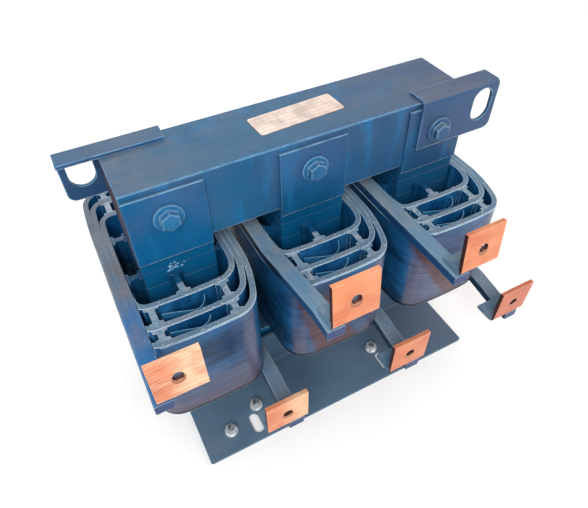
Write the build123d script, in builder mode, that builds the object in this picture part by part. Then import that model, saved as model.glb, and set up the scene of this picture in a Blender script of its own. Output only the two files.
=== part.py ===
from build123d import *
from math import cos, radians, sin, tan
import os

os.makedirs("parts", exist_ok=True)

# Three-phase line reactor: gapped iron core, three layered windings, standing on foot angles.
# Millimetres. The origin is the middle of the core's underside, on the floor. X runs along
# the yokes, the terminals face -Y and +Z is up.

# Core
limb_count = 3
limb_pitch = 160.0
limb_width = 80.0
stack_depth = 87.0
yoke_height = 80.0
window_height = 202.0
core_edge = 0.8
pads_per_limb = 10
pad_thickness = 2.0

# Clamp plates, one at the front and one at the rear of each yoke over each limb
plate_thickness = 3.0
plate_margin = 7.0
plate_overhang = 9.0

# Through bolts of the yokes, with flanged heads and flanged nuts
bolt_diameter = 12.0
bolt_depth = 37.0
bolt_hole_clearance = 1.0
thread_clearance = 0.2
head_across_flats = 18.0
head_height = 7.5
head_chamfer = 0.8
nut_height = 10.0
thread_past_nut = 4.0
flange_diameter = 31.0
flange_thickness = 2.5

# Mounting brackets, at the front right and the rear left of the top yoke
bracket_thickness = 4.0
bracket_length = 107.0
bracket_ear = 40.0
bracket_leg = 57.0
bracket_flange = 20.0
bracket_corner = 9.0
bracket_slot_width = 27.0
bracket_slot_height = 40.0
bracket_slot_from_end = 21.0
bracket_slot_from_top = 26.0
bend_inside_radius = 2.0

# Foot angles, front and rear
foot_thickness = 4.0
foot_reach = 106.0
foot_leg = 70.0
foot_corner = 3.0
foot_slot_width = 13.0
foot_slot_length = 30.0
foot_slot_reach = 82.5
foot_slot_inner = 76.0
foot_slot_outer = 127.0

# Studs welded on the front foot, each with a flanged nut: (x, distance from the yoke)
stud_places = [(-161.0, 78.0), (-117.0, 60.0), (72.0, 57.0)]
stud_diameter = 8.0
stud_height = 12.0
stud_flange_diameter = 17.0
stud_flange_thickness = 1.6
stud_nut_across_flats = 13.0
stud_nut_height = 6.5

# Windings: three layers on each limb, tight in the window and apart outside it
coil_height = 133.0
coil_drop = 32.5
coil_half_width = 71.5
coil_shift = -2.9
layer_thickness = 6.2
limb_duct = 32.5
inner_duct = 22.5
outer_duct = 15.0
straight_past_core = 2.0
right_splay = 20.0
left_splay = 5.0
corner_end_angle = 86.0
right_radii = [22.0, 25.0, 28.0]
left_radii = [14.0, 18.0, 25.0]

# Dog-bone sticks that hold the ducts open
stick_width = 15.0
stick_waist = 6.5
stick_flange = 3.6
side_stick_flange = 2.6
stick_taper = 1.4
stick_recess = 0.6
limb_stick_x = -5.0
side_stick_y = 32.0
duct_stick_left = -42.0
duct_stick_right = 34.0

# Leads: the layers' conductors run straight out to the terminals, side by side and joined
lead_height = 12.4
lead_edge = 1.0
lead_start = 30.0
lead_bend = 62.0
lead_bend_radius = 40.0
top_lead_rise = [-12.0, 26.0, 2.0]
top_lead_reach = [138.0, 163.5, 153.0]
bottom_lead_drop = 6.5
bottom_lead_bend = 125.0
bottom_lead_bend_radius = 20.0
bottom_lead_reach = 151.5
lead_run_in = 4.0
lead_set_back = 2.0

# Terminals: copper angles brazed on the leads
flag_width = 49.0
flag_height = 55.0
flag_thickness = 5.0
flag_foot = 28.0
flag_bend = 5.5
flag_hole = 11.0
flag_inset = 4.0
top_flag_lean = 6.5

# Plate on the top yoke
nameplate_length = 102.0
nameplate_width = 34.0
nameplate_thickness = 0.8
nameplate_corner = 3.0
nameplate_x = 4.4
nameplate_y = 2.5
nameplate_turn = 3.3

# Derived places
core_length = (limb_count - 1) * limb_pitch + limb_width
half_stack = stack_depth / 2
window_top = yoke_height + window_height
core_top = window_top + yoke_height
limb_places = [(i - (limb_count - 1) / 2) * limb_pitch for i in range(limb_count)]
plate_height = yoke_height - plate_margin + plate_overhang
plate_face = half_stack + plate_thickness
bolt_levels = [bolt_depth, core_top - bolt_depth]
bolt_hole = bolt_diameter + bolt_hole_clearance
coil_top = window_top - coil_drop
coil_bottom = coil_top - coil_height
layer_count = len(right_radii)
ducts = [limb_duct, inner_duct, outer_duct]
lead_width = layer_count * layer_thickness
flank_end = half_stack + straight_past_core


def save(part, name):
    part.label = name
    export_step(part, f"parts/{name}.step")


# Core

with BuildPart() as bottom_yoke:
    with Locations((0, 0, yoke_height / 2)):
        Box(core_length, stack_depth, yoke_height)
    chamfer(bottom_yoke.edges().filter_by(Axis.X), core_edge)
    with BuildSketch(Plane.XZ.offset(-half_stack)):
        with Locations([(x, bolt_levels[0]) for x in limb_places]):
            Circle(bolt_hole / 2)
    extrude(amount=stack_depth, mode=Mode.SUBTRACT)
save(bottom_yoke.part, "bottom_yoke")

with BuildPart() as top_yoke:
    with Locations((0, 0, core_top - yoke_height / 2)):
        Box(core_length, stack_depth, yoke_height)
    chamfer(top_yoke.edges().filter_by(Axis.X), core_edge)
    with BuildSketch(Plane.XZ.offset(-half_stack)):
        with Locations([(x, bolt_levels[1]) for x in limb_places]):
            Circle(bolt_hole / 2)
    extrude(amount=stack_depth, mode=Mode.SUBTRACT)
save(top_yoke.part, "top_yoke")

# Each limb is a stack of iron blocks with a gap pad under, between and over them
blocks_per_limb = pads_per_limb - 1
block_height = (window_height - pads_per_limb * pad_thickness) / blocks_per_limb
limb_step = block_height + pad_thickness

for number, x in enumerate(limb_places, start=1):
    with BuildPart() as blocks:
        for i in range(blocks_per_limb):
            with Locations((x, 0, yoke_height + pad_thickness + block_height / 2 + i * limb_step)):
                Box(limb_width, stack_depth, block_height)
        chamfer(blocks.edges().filter_by(Axis.Z), core_edge)
    save(blocks.part, f"limb_blocks_{number}")

    with BuildPart() as pads:
        for i in range(pads_per_limb):
            with Locations((x, 0, yoke_height + pad_thickness / 2 + i * limb_step)):
                Box(limb_width - 2 * core_edge, stack_depth - 2 * core_edge, pad_thickness)
    save(pads.part, f"gap_pads_{number}")


# Clamp plates

def plate_row(name, side, level, plate_bottom):
    with BuildPart() as plates:
        with BuildSketch(Plane.XZ.offset(-side * half_stack)):
            with Locations([(x, plate_bottom + plate_height / 2) for x in limb_places]):
                Rectangle(limb_width, plate_height)
            with Locations([(x, level) for x in limb_places]):
                Circle(bolt_hole / 2, mode=Mode.SUBTRACT)
        extrude(amount=-side * plate_thickness)
    save(plates.part, name)


top_plate_bottom = core_top - plate_margin - plate_height
for side, place in ((-1, "front"), (1, "rear")):
    plate_row(f"clamp_plates_top_{place}", side, bolt_levels[1], top_plate_bottom)
    plate_row(f"clamp_plates_bottom_{place}", side, bolt_levels[0], plate_margin)


# Brackets and feet: folded angles, drawn as a section that is extruded along the yoke

bracket_top = core_top + bracket_thickness
bracket_end = core_length / 2 + bracket_ear
bracket_face = plate_face + bracket_thickness

for turn, name in ((1, "bracket_front_right"), (-1, "bracket_rear_left")):
    section_plane = Plane((turn * bracket_end, 0, 0), x_dir=(0, -turn, 0), z_dir=(-turn, 0, 0))
    face_plane = Plane((0, -turn * bracket_face, 0), x_dir=(turn, 0, 0), z_dir=(0, -turn, 0))
    with BuildPart() as bracket:
        with BuildSketch(section_plane):
            with BuildLine():
                Polyline(
                    (plate_face, core_top - bracket_leg),
                    (bracket_face, core_top - bracket_leg),
                    (bracket_face, bracket_top),
                    (half_stack - bracket_flange, bracket_top),
                    (half_stack - bracket_flange, core_top),
                    (plate_face, core_top),
                    close=True,
                )
            make_face()
        extrude(amount=bracket_length)
        bends = bracket.edges().filter_by(Axis.X)
        fillet(bends.sort_by_distance((0, -turn * plate_face, core_top))[0], bend_inside_radius)
        bends = bracket.edges().filter_by(Axis.X)
        fillet(
            bends.sort_by_distance((0, -turn * bracket_face, bracket_top))[0],
            bend_inside_radius + bracket_thickness,
        )
        with BuildSketch(face_plane):
            with Locations((bracket_end - bracket_slot_from_end, bracket_top - bracket_slot_from_top)):
                SlotOverall(bracket_slot_height, bracket_slot_width, rotation=90)
            with Locations((limb_places[-1], bolt_levels[1])):
                Circle(bolt_hole / 2)
        extrude(amount=-bracket_thickness, mode=Mode.SUBTRACT)
        ear_corner = bracket.edges().filter_by(Axis.Y).sort_by_distance(
            (turn * bracket_end, -turn * bracket_face, core_top - bracket_leg)
        )[0]
        fillet(ear_corner, bracket_corner)
    save(bracket.part, name)

foot_face = plate_face + foot_thickness
foot_end = half_stack + foot_reach

for turn, name in ((1, "foot_front"), (-1, "foot_rear")):
    section_plane = Plane((turn * core_length / 2, 0, 0), x_dir=(0, -turn, 0), z_dir=(-turn, 0, 0))
    face_plane = Plane((0, -turn * foot_face, 0), x_dir=(turn, 0, 0), z_dir=(0, -turn, 0))
    with BuildPart() as foot:
        with BuildSketch(section_plane):
            with BuildLine():
                Polyline(
                    (plate_face, 0),
                    (foot_end, 0),
                    (foot_end, foot_thickness),
                    (foot_face, foot_thickness),
                    (foot_face, foot_leg),
                    (plate_face, foot_leg),
                    close=True,
                )
            make_face()
        extrude(amount=core_length)
        bends = foot.edges().filter_by(Axis.X)
        fillet(bends.sort_by_distance((0, -turn * foot_face, foot_thickness))[0], bend_inside_radius)
        bends = foot.edges().filter_by(Axis.X)
        fillet(
            bends.sort_by_distance((0, -turn * plate_face, 0))[0],
            bend_inside_radius + foot_thickness,
        )
        with BuildSketch(face_plane):
            with Locations([(x, bolt_levels[0]) for x in limb_places]):
                Circle(bolt_hole / 2)
        extrude(amount=-foot_thickness, mode=Mode.SUBTRACT)
        slot_places = [
            (x, -turn * (half_stack + foot_slot_reach))
            for x in (-foot_slot_outer, -foot_slot_inner, foot_slot_inner, foot_slot_outer)
        ]
        with BuildSketch(Plane.XY):
            with Locations(slot_places):
                SlotOverall(foot_slot_length, foot_slot_width, rotation=90)
        extrude(amount=foot_thickness, mode=Mode.SUBTRACT)
        fillet(
            foot.edges().filter_by(Axis.Z).group_by(Axis.Y)[0 if turn > 0 else -1], foot_corner
        )
    save(foot.part, name)


# Fasteners of the yokes. Each bolt clamps what lies on the yoke at its place, front and rear.

def clamped(side, level, x):
    if level == bolt_levels[0]:
        return foot_face
    has_bracket = x == (limb_places[-1] if side < 0 else limb_places[0])
    return bracket_face if has_bracket else plate_face


bolt_spots = [(x, level) for level in bolt_levels for x in limb_places]

with BuildPart() as yoke_bolts:
    for x, level in bolt_spots:
        head_seat = clamped(-1, level, x)
        tip = clamped(1, level, x) + flange_thickness + nut_height + thread_past_nut
        with BuildSketch(Plane.XZ.offset(head_seat)):
            with Locations((x, level)):
                Circle(flange_diameter / 2)
        extrude(amount=flange_thickness)
        with BuildSketch(Plane.XZ.offset(head_seat + flange_thickness)):
            with Locations((x, level)):
                RegularPolygon(head_across_flats / 2, 6, major_radius=False, rotation=30)
        extrude(amount=head_height)
        with BuildSketch(Plane.XZ.offset(head_seat)):
            with Locations((x, level)):
                Circle(bolt_diameter / 2)
        extrude(amount=-(head_seat + tip))
    chamfer(yoke_bolts.faces().filter_by(Plane.XZ).group_by(Axis.Y)[0].edges(), head_chamfer)
save(yoke_bolts.part, "yoke_bolts")

with BuildPart() as yoke_nuts:
    for x, level in bolt_spots:
        nut_seat = clamped(1, level, x)
        with BuildSketch(Plane.XZ.offset(-nut_seat)):
            with Locations((x, level)):
                Circle(flange_diameter / 2)
        extrude(amount=-flange_thickness)
        with BuildSketch(Plane.XZ.offset(-nut_seat - flange_thickness)):
            with Locations((x, level)):
                RegularPolygon(head_across_flats / 2, 6, major_radius=False, rotation=30)
        extrude(amount=-nut_height)
        with BuildSketch(Plane.XZ.offset(-nut_seat)):
            with Locations((x, level)):
                Circle((bolt_diameter + thread_clearance) / 2)
        extrude(amount=-(flange_thickness + nut_height), mode=Mode.SUBTRACT)
save(yoke_nuts.part, "yoke_nuts")

# Studs on the front foot

stud_spots = [(x, -(half_stack + reach)) for x, reach in stud_places]

with BuildPart() as foot_studs:
    with BuildSketch(Plane.XY.offset(foot_thickness)):
        with Locations(stud_spots):
            Circle(stud_diameter / 2)
    extrude(amount=stud_height)
save(foot_studs.part, "foot_studs")

with BuildPart() as foot_stud_nuts:
    with BuildSketch(Plane.XY.offset(foot_thickness)):
        with Locations(stud_spots):
            Circle(stud_flange_diameter / 2)
    extrude(amount=stud_flange_thickness)
    with BuildSketch(Plane.XY.offset(foot_thickness + stud_flange_thickness)):
        with Locations(stud_spots):
            RegularPolygon(stud_nut_across_flats / 2, 6, major_radius=False)
    extrude(amount=stud_nut_height)
    with BuildSketch(Plane.XY.offset(foot_thickness)):
        with Locations(stud_spots):
            Circle((stud_diameter + thread_clearance) / 2)
    extrude(amount=stud_flange_thickness + stud_nut_height, mode=Mode.SUBTRACT)
save(foot_stud_nuts.part, "foot_stud_nuts")


# Windings. A layer's middle line leaves the window straight, splays over a wide arc, turns a
# tight corner and crosses the front on a shallow bow. The wide arc and the bow are worked out
# so that the line ends in the middle of the front, at the depth that the ducts leave for it.

def layer_half_width(layer):
    return coil_half_width - (layer_count - layer - 0.5) * layer_thickness


def layer_depth(layer):
    return half_stack + sum(ducts[: layer + 1]) + (layer + 0.5) * layer_thickness


def quarter_arcs(layer, splay_angle, tight):
    splay = radians(splay_angle)
    end = radians(corner_end_angle)
    width_left = layer_half_width(layer) - tight * (cos(splay) - cos(end))
    depth_left = layer_depth(layer) - flank_end - tight * (sin(end) - sin(splay))
    bow_share = (1 - sin(end)) / cos(end)
    wide = (depth_left - width_left * bow_share) / (sin(splay) - (1 - cos(splay)) * bow_share)
    bow = (width_left - wide * (1 - cos(splay))) / cos(end)
    return [
        (wide, splay_angle),
        (tight, corner_end_angle - splay_angle),
        (bow, 90 - corner_end_angle),
    ]


def layer_face(layer, offset):
    side = layer_half_width(layer) + offset
    with BuildSketch() as face:
        with BuildLine():
            for way, splay, radii in ((1, right_splay, right_radii), (-1, left_splay, left_radii)):
                edge = Line((way * side, 0), (way * side, -flank_end))
                for radius, angle in quarter_arcs(layer, splay, radii[layer]):
                    edge = JernArc(edge @ 1, edge % 1, radius + offset, -way * angle)
            mirror(about=Plane.XZ)
        make_face()
    return face.sketch


def duct_face(duct):
    outer = layer_face(duct, -layer_thickness / 2)
    if duct == 0:
        with BuildSketch() as limb:
            with Locations((-coil_shift, 0)):
                Rectangle(limb_width, stack_depth)
        return outer - limb.sketch
    return outer - layer_face(duct - 1, layer_thickness / 2)


# A stick is a dog-bone section cut to the two walls of the duct that it holds apart

def stick_face(duct, x, y, turn=0, flange=stick_flange):
    duct_here = duct_face(duct)
    with BuildSketch() as stick:
        with Locations(Location((x, y), turn)):
            Rectangle(stick_width, layer_depth(layer_count - 1))
        add(duct_here, mode=Mode.INTERSECT)
    held = stick.sketch.bounding_box()
    mouth = (held.size.X if turn else held.size.Y) / 2 - flange
    half_bite = [(stick_width / 2, mouth), (stick_waist / 2, mouth - stick_taper)]
    bite = half_bite + [(reach, -height) for reach, height in reversed(half_bite)]
    with BuildSketch() as bites:
        with Locations(Location(held.center(), (0, 0, turn))):
            Polygon(*bite, align=None)
            Polygon(*[(-reach, height) for reach, height in bite], align=None)
    return stick.sketch - bites.sketch


layer_rings = [
    layer_face(layer, layer_thickness / 2) - layer_face(layer, -layer_thickness / 2)
    for layer in range(layer_count)
]
half_reach = layer_depth(layer_count - 1) / 2
ends = (-half_reach, half_reach)
duct_stick_places = (duct_stick_left, duct_stick_right)
limb_stick_faces = [stick_face(0, limb_stick_x, y) for y in ends] + [
    stick_face(0, x, y, turn=90, flange=side_stick_flange)
    for x in ends
    for y in (-side_stick_y, side_stick_y)
]
duct_stick_faces = [
    [stick_face(duct, x, y) for y in ends for x in duct_stick_places]
    for duct in range(1, layer_count)
]


# Leads and terminals are strips carried along a path in a plane across the yoke

def strip(points, radius, x, width, height, edge=0.0):
    with BuildPart() as bar:
        with BuildLine(Plane((x, 0, 0), x_dir=(0, 1, 0), z_dir=(1, 0, 0))) as way:
            FilletPolyline(*points, radius=radius)
        path = way.line
        with BuildSketch(Plane(path @ 0, x_dir=(1, 0, 0), z_dir=path % 0)):
            outline = Rectangle(width, height)
            if edge:
                chamfer(outline.vertices(), edge)
        sweep(path=path)
    return bar.part


def flag(x, front, foot_level, lean):
    level = foot_level + flag_thickness / 2
    leaf = front + flag_thickness / 2
    hole_height = flag_height / 2
    top_height = flag_height - flag_thickness / 2
    slope = tan(radians(lean))
    points = [
        (front + flag_foot, level),
        (leaf, level),
        (leaf + top_height * slope, level + top_height),
    ]
    angle = strip(points, flag_bend, x, flag_width, flag_thickness)
    hole_centre = (x, leaf + hole_height * slope, level + hole_height)
    hole_plane = Plane(hole_centre, x_dir=(1, 0, 0), z_dir=(0, -1, slope))
    with BuildPart() as terminal:
        add(angle)
        with BuildSketch(hole_plane):
            Circle(flag_hole / 2)
        extrude(amount=flag_thickness, both=True, mode=Mode.SUBTRACT)
    return terminal.part


def lead_path(start_level, bend, rise, reach):
    front = -(half_stack + reach)
    return [
        (lead_start, start_level),
        (-bend, start_level),
        (front + flag_foot + lead_run_in, start_level + rise),
        (front + lead_set_back, start_level + rise),
    ]



for number, limb_x in enumerate(limb_places, start=1):
    coil_x = limb_x + coil_shift

    # The top lead leaves along the left flank, at the level of the coil's top turn
    lead_level = coil_top - lead_height / 2
    rise = top_lead_rise[number - 1]
    reach = top_lead_reach[number - 1]
    flank = coil_x - coil_half_width
    top_path = lead_path(lead_level, lead_bend, rise, reach)
    above_top_path = [(y, z + lead_height) for y, z in top_path]
    lead_x = flank + lead_width / 2
    lead_room = [
        strip(path, lead_bend_radius, lead_x, lead_width, lead_height)
        for path in (top_path, above_top_path)
    ]
    top_lead = strip(top_path, lead_bend_radius, lead_x, lead_width, lead_height, lead_edge)
    save(top_lead, f"top_lead_{number}")

    foot_level = coil_top + rise
    flag_x = flank + flag_inset + flag_width / 2
    terminal = flag(flag_x, -(half_stack + reach), foot_level, top_flag_lean)
    save(terminal, f"top_terminal_{number}")

    # The bottom lead leaves along the right flank, under the coil's bottom turn
    lead_level = coil_bottom - lead_height / 2
    flank = coil_x + coil_half_width - lead_width
    bottom_path = lead_path(lead_level, bottom_lead_bend, -bottom_lead_drop, bottom_lead_reach)
    lead_x = flank + lead_width / 2
    bottom_lead = strip(
        bottom_path, bottom_lead_bend_radius, lead_x, lead_width, lead_height, lead_edge
    )
    save(bottom_lead, f"bottom_lead_{number}")

    foot_level = coil_bottom - bottom_lead_drop
    flag_x = flank + lead_width + flag_inset - flag_width / 2
    terminal = flag(flag_x, -(half_stack + bottom_lead_reach), foot_level, 0)
    save(terminal, f"bottom_terminal_{number}")

    for layer, name in enumerate(("inner", "middle", "outer")):
        with BuildPart() as winding:
            with BuildSketch(Plane((coil_x, 0, coil_bottom))):
                add(layer_rings[layer])
            extrude(amount=coil_height)
            add(lead_room, mode=Mode.SUBTRACT)
        save(winding.part, f"winding_{number}_{name}")

    stick_level = Plane((coil_x, 0, coil_bottom + stick_recess))
    stick_height = coil_height - 2 * stick_recess
    with BuildPart() as limb_sticks:
        with BuildSketch(stick_level):
            add(limb_stick_faces)
        extrude(amount=stick_height)
    save(limb_sticks.part, f"limb_sticks_{number}")

    for faces, name in zip(duct_stick_faces, ("inner", "outer")):
        with BuildPart() as duct_sticks:
            with BuildSketch(stick_level):
                add(faces)
            extrude(amount=stick_height)
        save(duct_sticks.part, f"{name}_duct_sticks_{number}")

# Plate on the top yoke

with BuildPart() as nameplate:
    with BuildSketch(Plane.XY.offset(core_top)):
        with Locations(Location((nameplate_x, nameplate_y), nameplate_turn)):
            RectangleRounded(nameplate_length, nameplate_width, nameplate_corner)
    extrude(amount=nameplate_thickness)
save(nameplate.part, "nameplate")
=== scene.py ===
import math
from types import SimpleNamespace

import bmesh
import bpy
import numpy as np
from mathutils import Matrix, Vector


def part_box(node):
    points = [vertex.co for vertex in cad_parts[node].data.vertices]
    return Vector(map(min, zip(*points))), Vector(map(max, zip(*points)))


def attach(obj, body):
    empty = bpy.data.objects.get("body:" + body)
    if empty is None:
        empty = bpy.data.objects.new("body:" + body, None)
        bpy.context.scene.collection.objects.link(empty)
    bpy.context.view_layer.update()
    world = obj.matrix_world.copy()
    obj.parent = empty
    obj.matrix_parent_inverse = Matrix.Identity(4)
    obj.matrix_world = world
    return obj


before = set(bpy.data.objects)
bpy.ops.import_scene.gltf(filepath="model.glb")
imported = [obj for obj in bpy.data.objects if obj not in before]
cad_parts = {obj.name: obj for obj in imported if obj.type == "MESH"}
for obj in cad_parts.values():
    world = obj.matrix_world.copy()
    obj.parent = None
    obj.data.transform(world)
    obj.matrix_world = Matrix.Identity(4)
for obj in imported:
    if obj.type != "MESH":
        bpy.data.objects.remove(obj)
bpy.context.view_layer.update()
mm = 0.001
coilNames = ("1", "2", "3")
print("frame loaded:", len(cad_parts), "nodes")


# Shading tools. In the dictionaries below, a patch holds its size in metres and the two values of the noise
# between which it fades in.

def colour(hexCode):  # sRGB hex to the linear colour that shaders take
    parts = [int(hexCode[i:i + 2], 16) / 255 for i in (1, 3, 5)]
    linear = [p / 12.92 if p <= 0.04045 else ((p + 0.055) / 1.055) ** 2.4 for p in parts]
    return (*linear, 1.0)


def add(tree, kind, inputs=None, output=0, **settings):  # one node, with its settings and links
    made = tree.nodes.new("ShaderNode" + kind)
    for key, value in settings.items():
        setattr(made, key, value)
    for key, value in (inputs or {}).items():
        if isinstance(value, bpy.types.NodeSocket):
            tree.links.new(value, made.inputs[key])
        else:
            made.inputs[key].default_value = colour(value) if isinstance(value, str) else value
    return made.outputs[output] if made.outputs else made


def overlap(tree, *masks):  # where all the masks hold: their product
    product = masks[0]
    for mask in masks[1:]:
        product = add(tree, "Math", {0: product, 1: mask}, operation="MULTIPLY")
    return product


def zone(tree, *limits):  # rises smoothly from 0 to 1 as each value goes from its start to its end
    steps = [add(tree, "MapRange", {0: value, 1: start, 2: end}, interpolation_type="SMOOTHSTEP")
             for value, start, end in limits]
    return overlap(tree, *steps)


def patches(tree, point, patch, most=1.0, least=0.0, stretch=(1, 1, 1), turn=0.0, detail=4.0):
    # soft-edged patches of noise, stretched along the axes, that run from least to most
    size, low, high = patch
    scale = [size * share for share in stretch]
    spot = add(tree, "Mapping", {"Vector": point, "Rotation": (0, 0, turn), "Scale": scale},
               vector_type="TEXTURE")
    noise = add(tree, "TexNoise", {"Vector": spot, "Scale": 1.0, "Detail": detail})
    return add(tree, "MapRange", {0: noise, 1: low, 2: high, 3: least, 4: most},
               interpolation_type="SMOOTHSTEP")


def coats(tree, first, *layers):  # colours laid one over another, each as strong as its share
    tone = first
    for share, over in layers:
        tone = add(tree, "Mix", {0: share, 6: tone, 7: over}, 2, data_type="RGBA")
    return tone


def startMaterial(name, edgeRadius):  # what every material begins with: places, directions and rounded edges
    material = bpy.data.materials.new(name)
    material.use_nodes = True
    tree = material.node_tree
    tree.nodes.clear()
    point = add(tree, "TexCoord", output="Object")
    face = add(tree, "NewGeometry", output="Normal")
    soft = add(tree, "Bevel", {"Radius": edgeRadius}, samples=4)
    alike = add(tree, "VectorMath", {0: soft, 1: face}, "Value", operation="DOT_PRODUCT")
    x, y, z = add(tree, "SeparateXYZ", {0: point}, slice(3))
    faceX, faceY, faceZ = add(tree, "SeparateXYZ", {0: face}, slice(3))
    return SimpleNamespace(
        material=material, tree=tree, point=point, x=x, y=y, z=z, face=face, faceX=faceX, faceY=faceY,
        soft=soft, edges=zone(tree, (alike, 0.995, 0.88)), up=zone(tree, (faceZ, 0.4, 0.85)),
    )


def finishMaterial(here, relief, depth, **inputs):  # depth is the height in metres that a relief of 1 gives
    tree = here.tree
    normal = add(tree, "Bump", {"Height": relief, "Distance": depth, "Normal": here.soft})
    named = {key.replace("_", " "): value for key, value in inputs.items()}
    shader = add(tree, "BsdfPrincipled", {"Normal": normal, **named})
    add(tree, "OutputMaterial", {0: shader})
    return here.material


def dress(material, *nodeNames):  # puts a material on CAD nodes
    for name in nodeNames:
        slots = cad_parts[name].data.materials
        slots.clear()
        slots.append(material)


# Sprayed varnish: blue air-drying varnish on steel. Walls are deep blue and glossy, some with upright runs.
# Painted reflection lies on them in greyish-violet patches and in a band up high, and greys them to the
# right. Edges carry a painted highlight line, and where they face down another painted tone: light on most
# parts, painted shade on the bolts. What faces up is dull with dust, and dull brown steel shows where the
# spray missed the left ends.
varnishLook = {
    "deep": "#07476E", "bright": "#1C557B", "brightPatch": (95 * mm, 0.34, 0.66),
    "rightLight": "#33496A", "rightLightShare": 0.85, "rightLightPatch": (120 * mm, 0.3, 0.6),
    "rightLightFrom": -60 * mm, "rightLightTo": 230 * mm,
    "reflection": "#42506F", "reflectionShare": 0.35, "reflectionPatch": (130 * mm, 0.5, 0.75),
    "sheenFrom": 288 * mm, "sheenTo": 340 * mm, "sheenShare": 0.45, "sheenPatch": (70 * mm, 0.3, 0.6),
    "run": "#1B6698", "runShare": 0.0, "runPatch": (24 * mm, 0.5, 0.7),
    "dust": "#425F76", "dustFar": "#5C5F6A", "dustShare": 0.95, "dustLeast": 0.4,
    "driftPatch": (60 * mm, 0.36, 0.6), "streakShare": 0.25, "streakPatch": (4 * mm, 0.35, 0.7),
    "soil": "#746D69", "soilShare": 0.5, "fleckPatch": (22 * mm, 0.6, 0.75),
    "endFrom": -70 * mm, "endTo": -225 * mm, "endPatch": (45 * mm, 0.36, 0.6),
    "edge": "#79B0D6", "edgeBelow": "#D6EEFA", "edgeShare": 0.95, "edgeRadius": 2.0 * mm,
    "edgePatch": (14 * mm, 0.3, 0.6), "uprightEdges": 1.0, "levelEdges": 1.0,
    "scratchShare": 0.2, "scratchPatch": (1.1 * mm, 0.7, 0.78), "scratchTurns": (0.45, -0.8),
    "missed": "#3E1F18", "missedShare": 0.0, "missedPatch": (26 * mm, 0.32, 0.6),
    "missedFrom": -180 * mm, "missedTo": -198 * mm, "missedDull": 1.0,
    "gloss": 0.3, "dull": 0.62, "uneven": 0.12, "unevenPatch": (30 * mm, 0.3, 0.7),
    "relief": 0.1 * mm, "sagPatch": (9 * mm, 0.2, 0.8), "peelShare": 0.25, "peelPatch": (1.8 * mm, 0.2, 0.8),
}
yokeLook = dict(varnishLook, missedShare=1.0, runShare=0.7)
clampLook = dict(
    varnishLook, deep="#064369", bright="#0C5583", rightLight="#243F60", reflectionShare=0.2, edge="#98C6E4",
    edgeRadius=2.2 * mm, uprightEdges=0.25, levelEdges=0.95, scratchShare=0.12, missedShare=0.9, runShare=0.4,
)
bracketLook = dict(
    varnishLook, deep="#1F4467", bright="#25507A", reflection="#3C4968", dust="#4C6176", soilShare=0.2,
)
# the bolts' edges that face down carry painted shade
boltLook = dict(
    varnishLook, deep="#0E4A76", bright="#24648F", edge="#A9D0E8", edgeBelow="#17476B", edgeRadius=2.8 * mm,
    edgeShare=0.5, dust="#2F618A", soilShare=0.1, sheenShare=0.0, gloss=0.16,
)
limbLook = dict(
    varnishLook, deep="#044770", bright="#0A5580", rightLight="#1A4364", reflectionShare=0.1, edgeShare=0.4,
    levelEdges=0.0, edgeRadius=0.15 * mm, dust="#335A78", missedShare=0.6, scratchShare=0.1,
)
footLook = dict(
    varnishLook, deep="#435A70", bright="#516B82", rightLight="#4C6074", reflection="#566170", dust="#506678",
    dustFar="#565F6E", soilShare=0.2, edge="#8399AB", edgeShare=0.5, edgeRadius=1.2 * mm, gloss=0.45,
    scratchShare=0.15,
)


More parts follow.
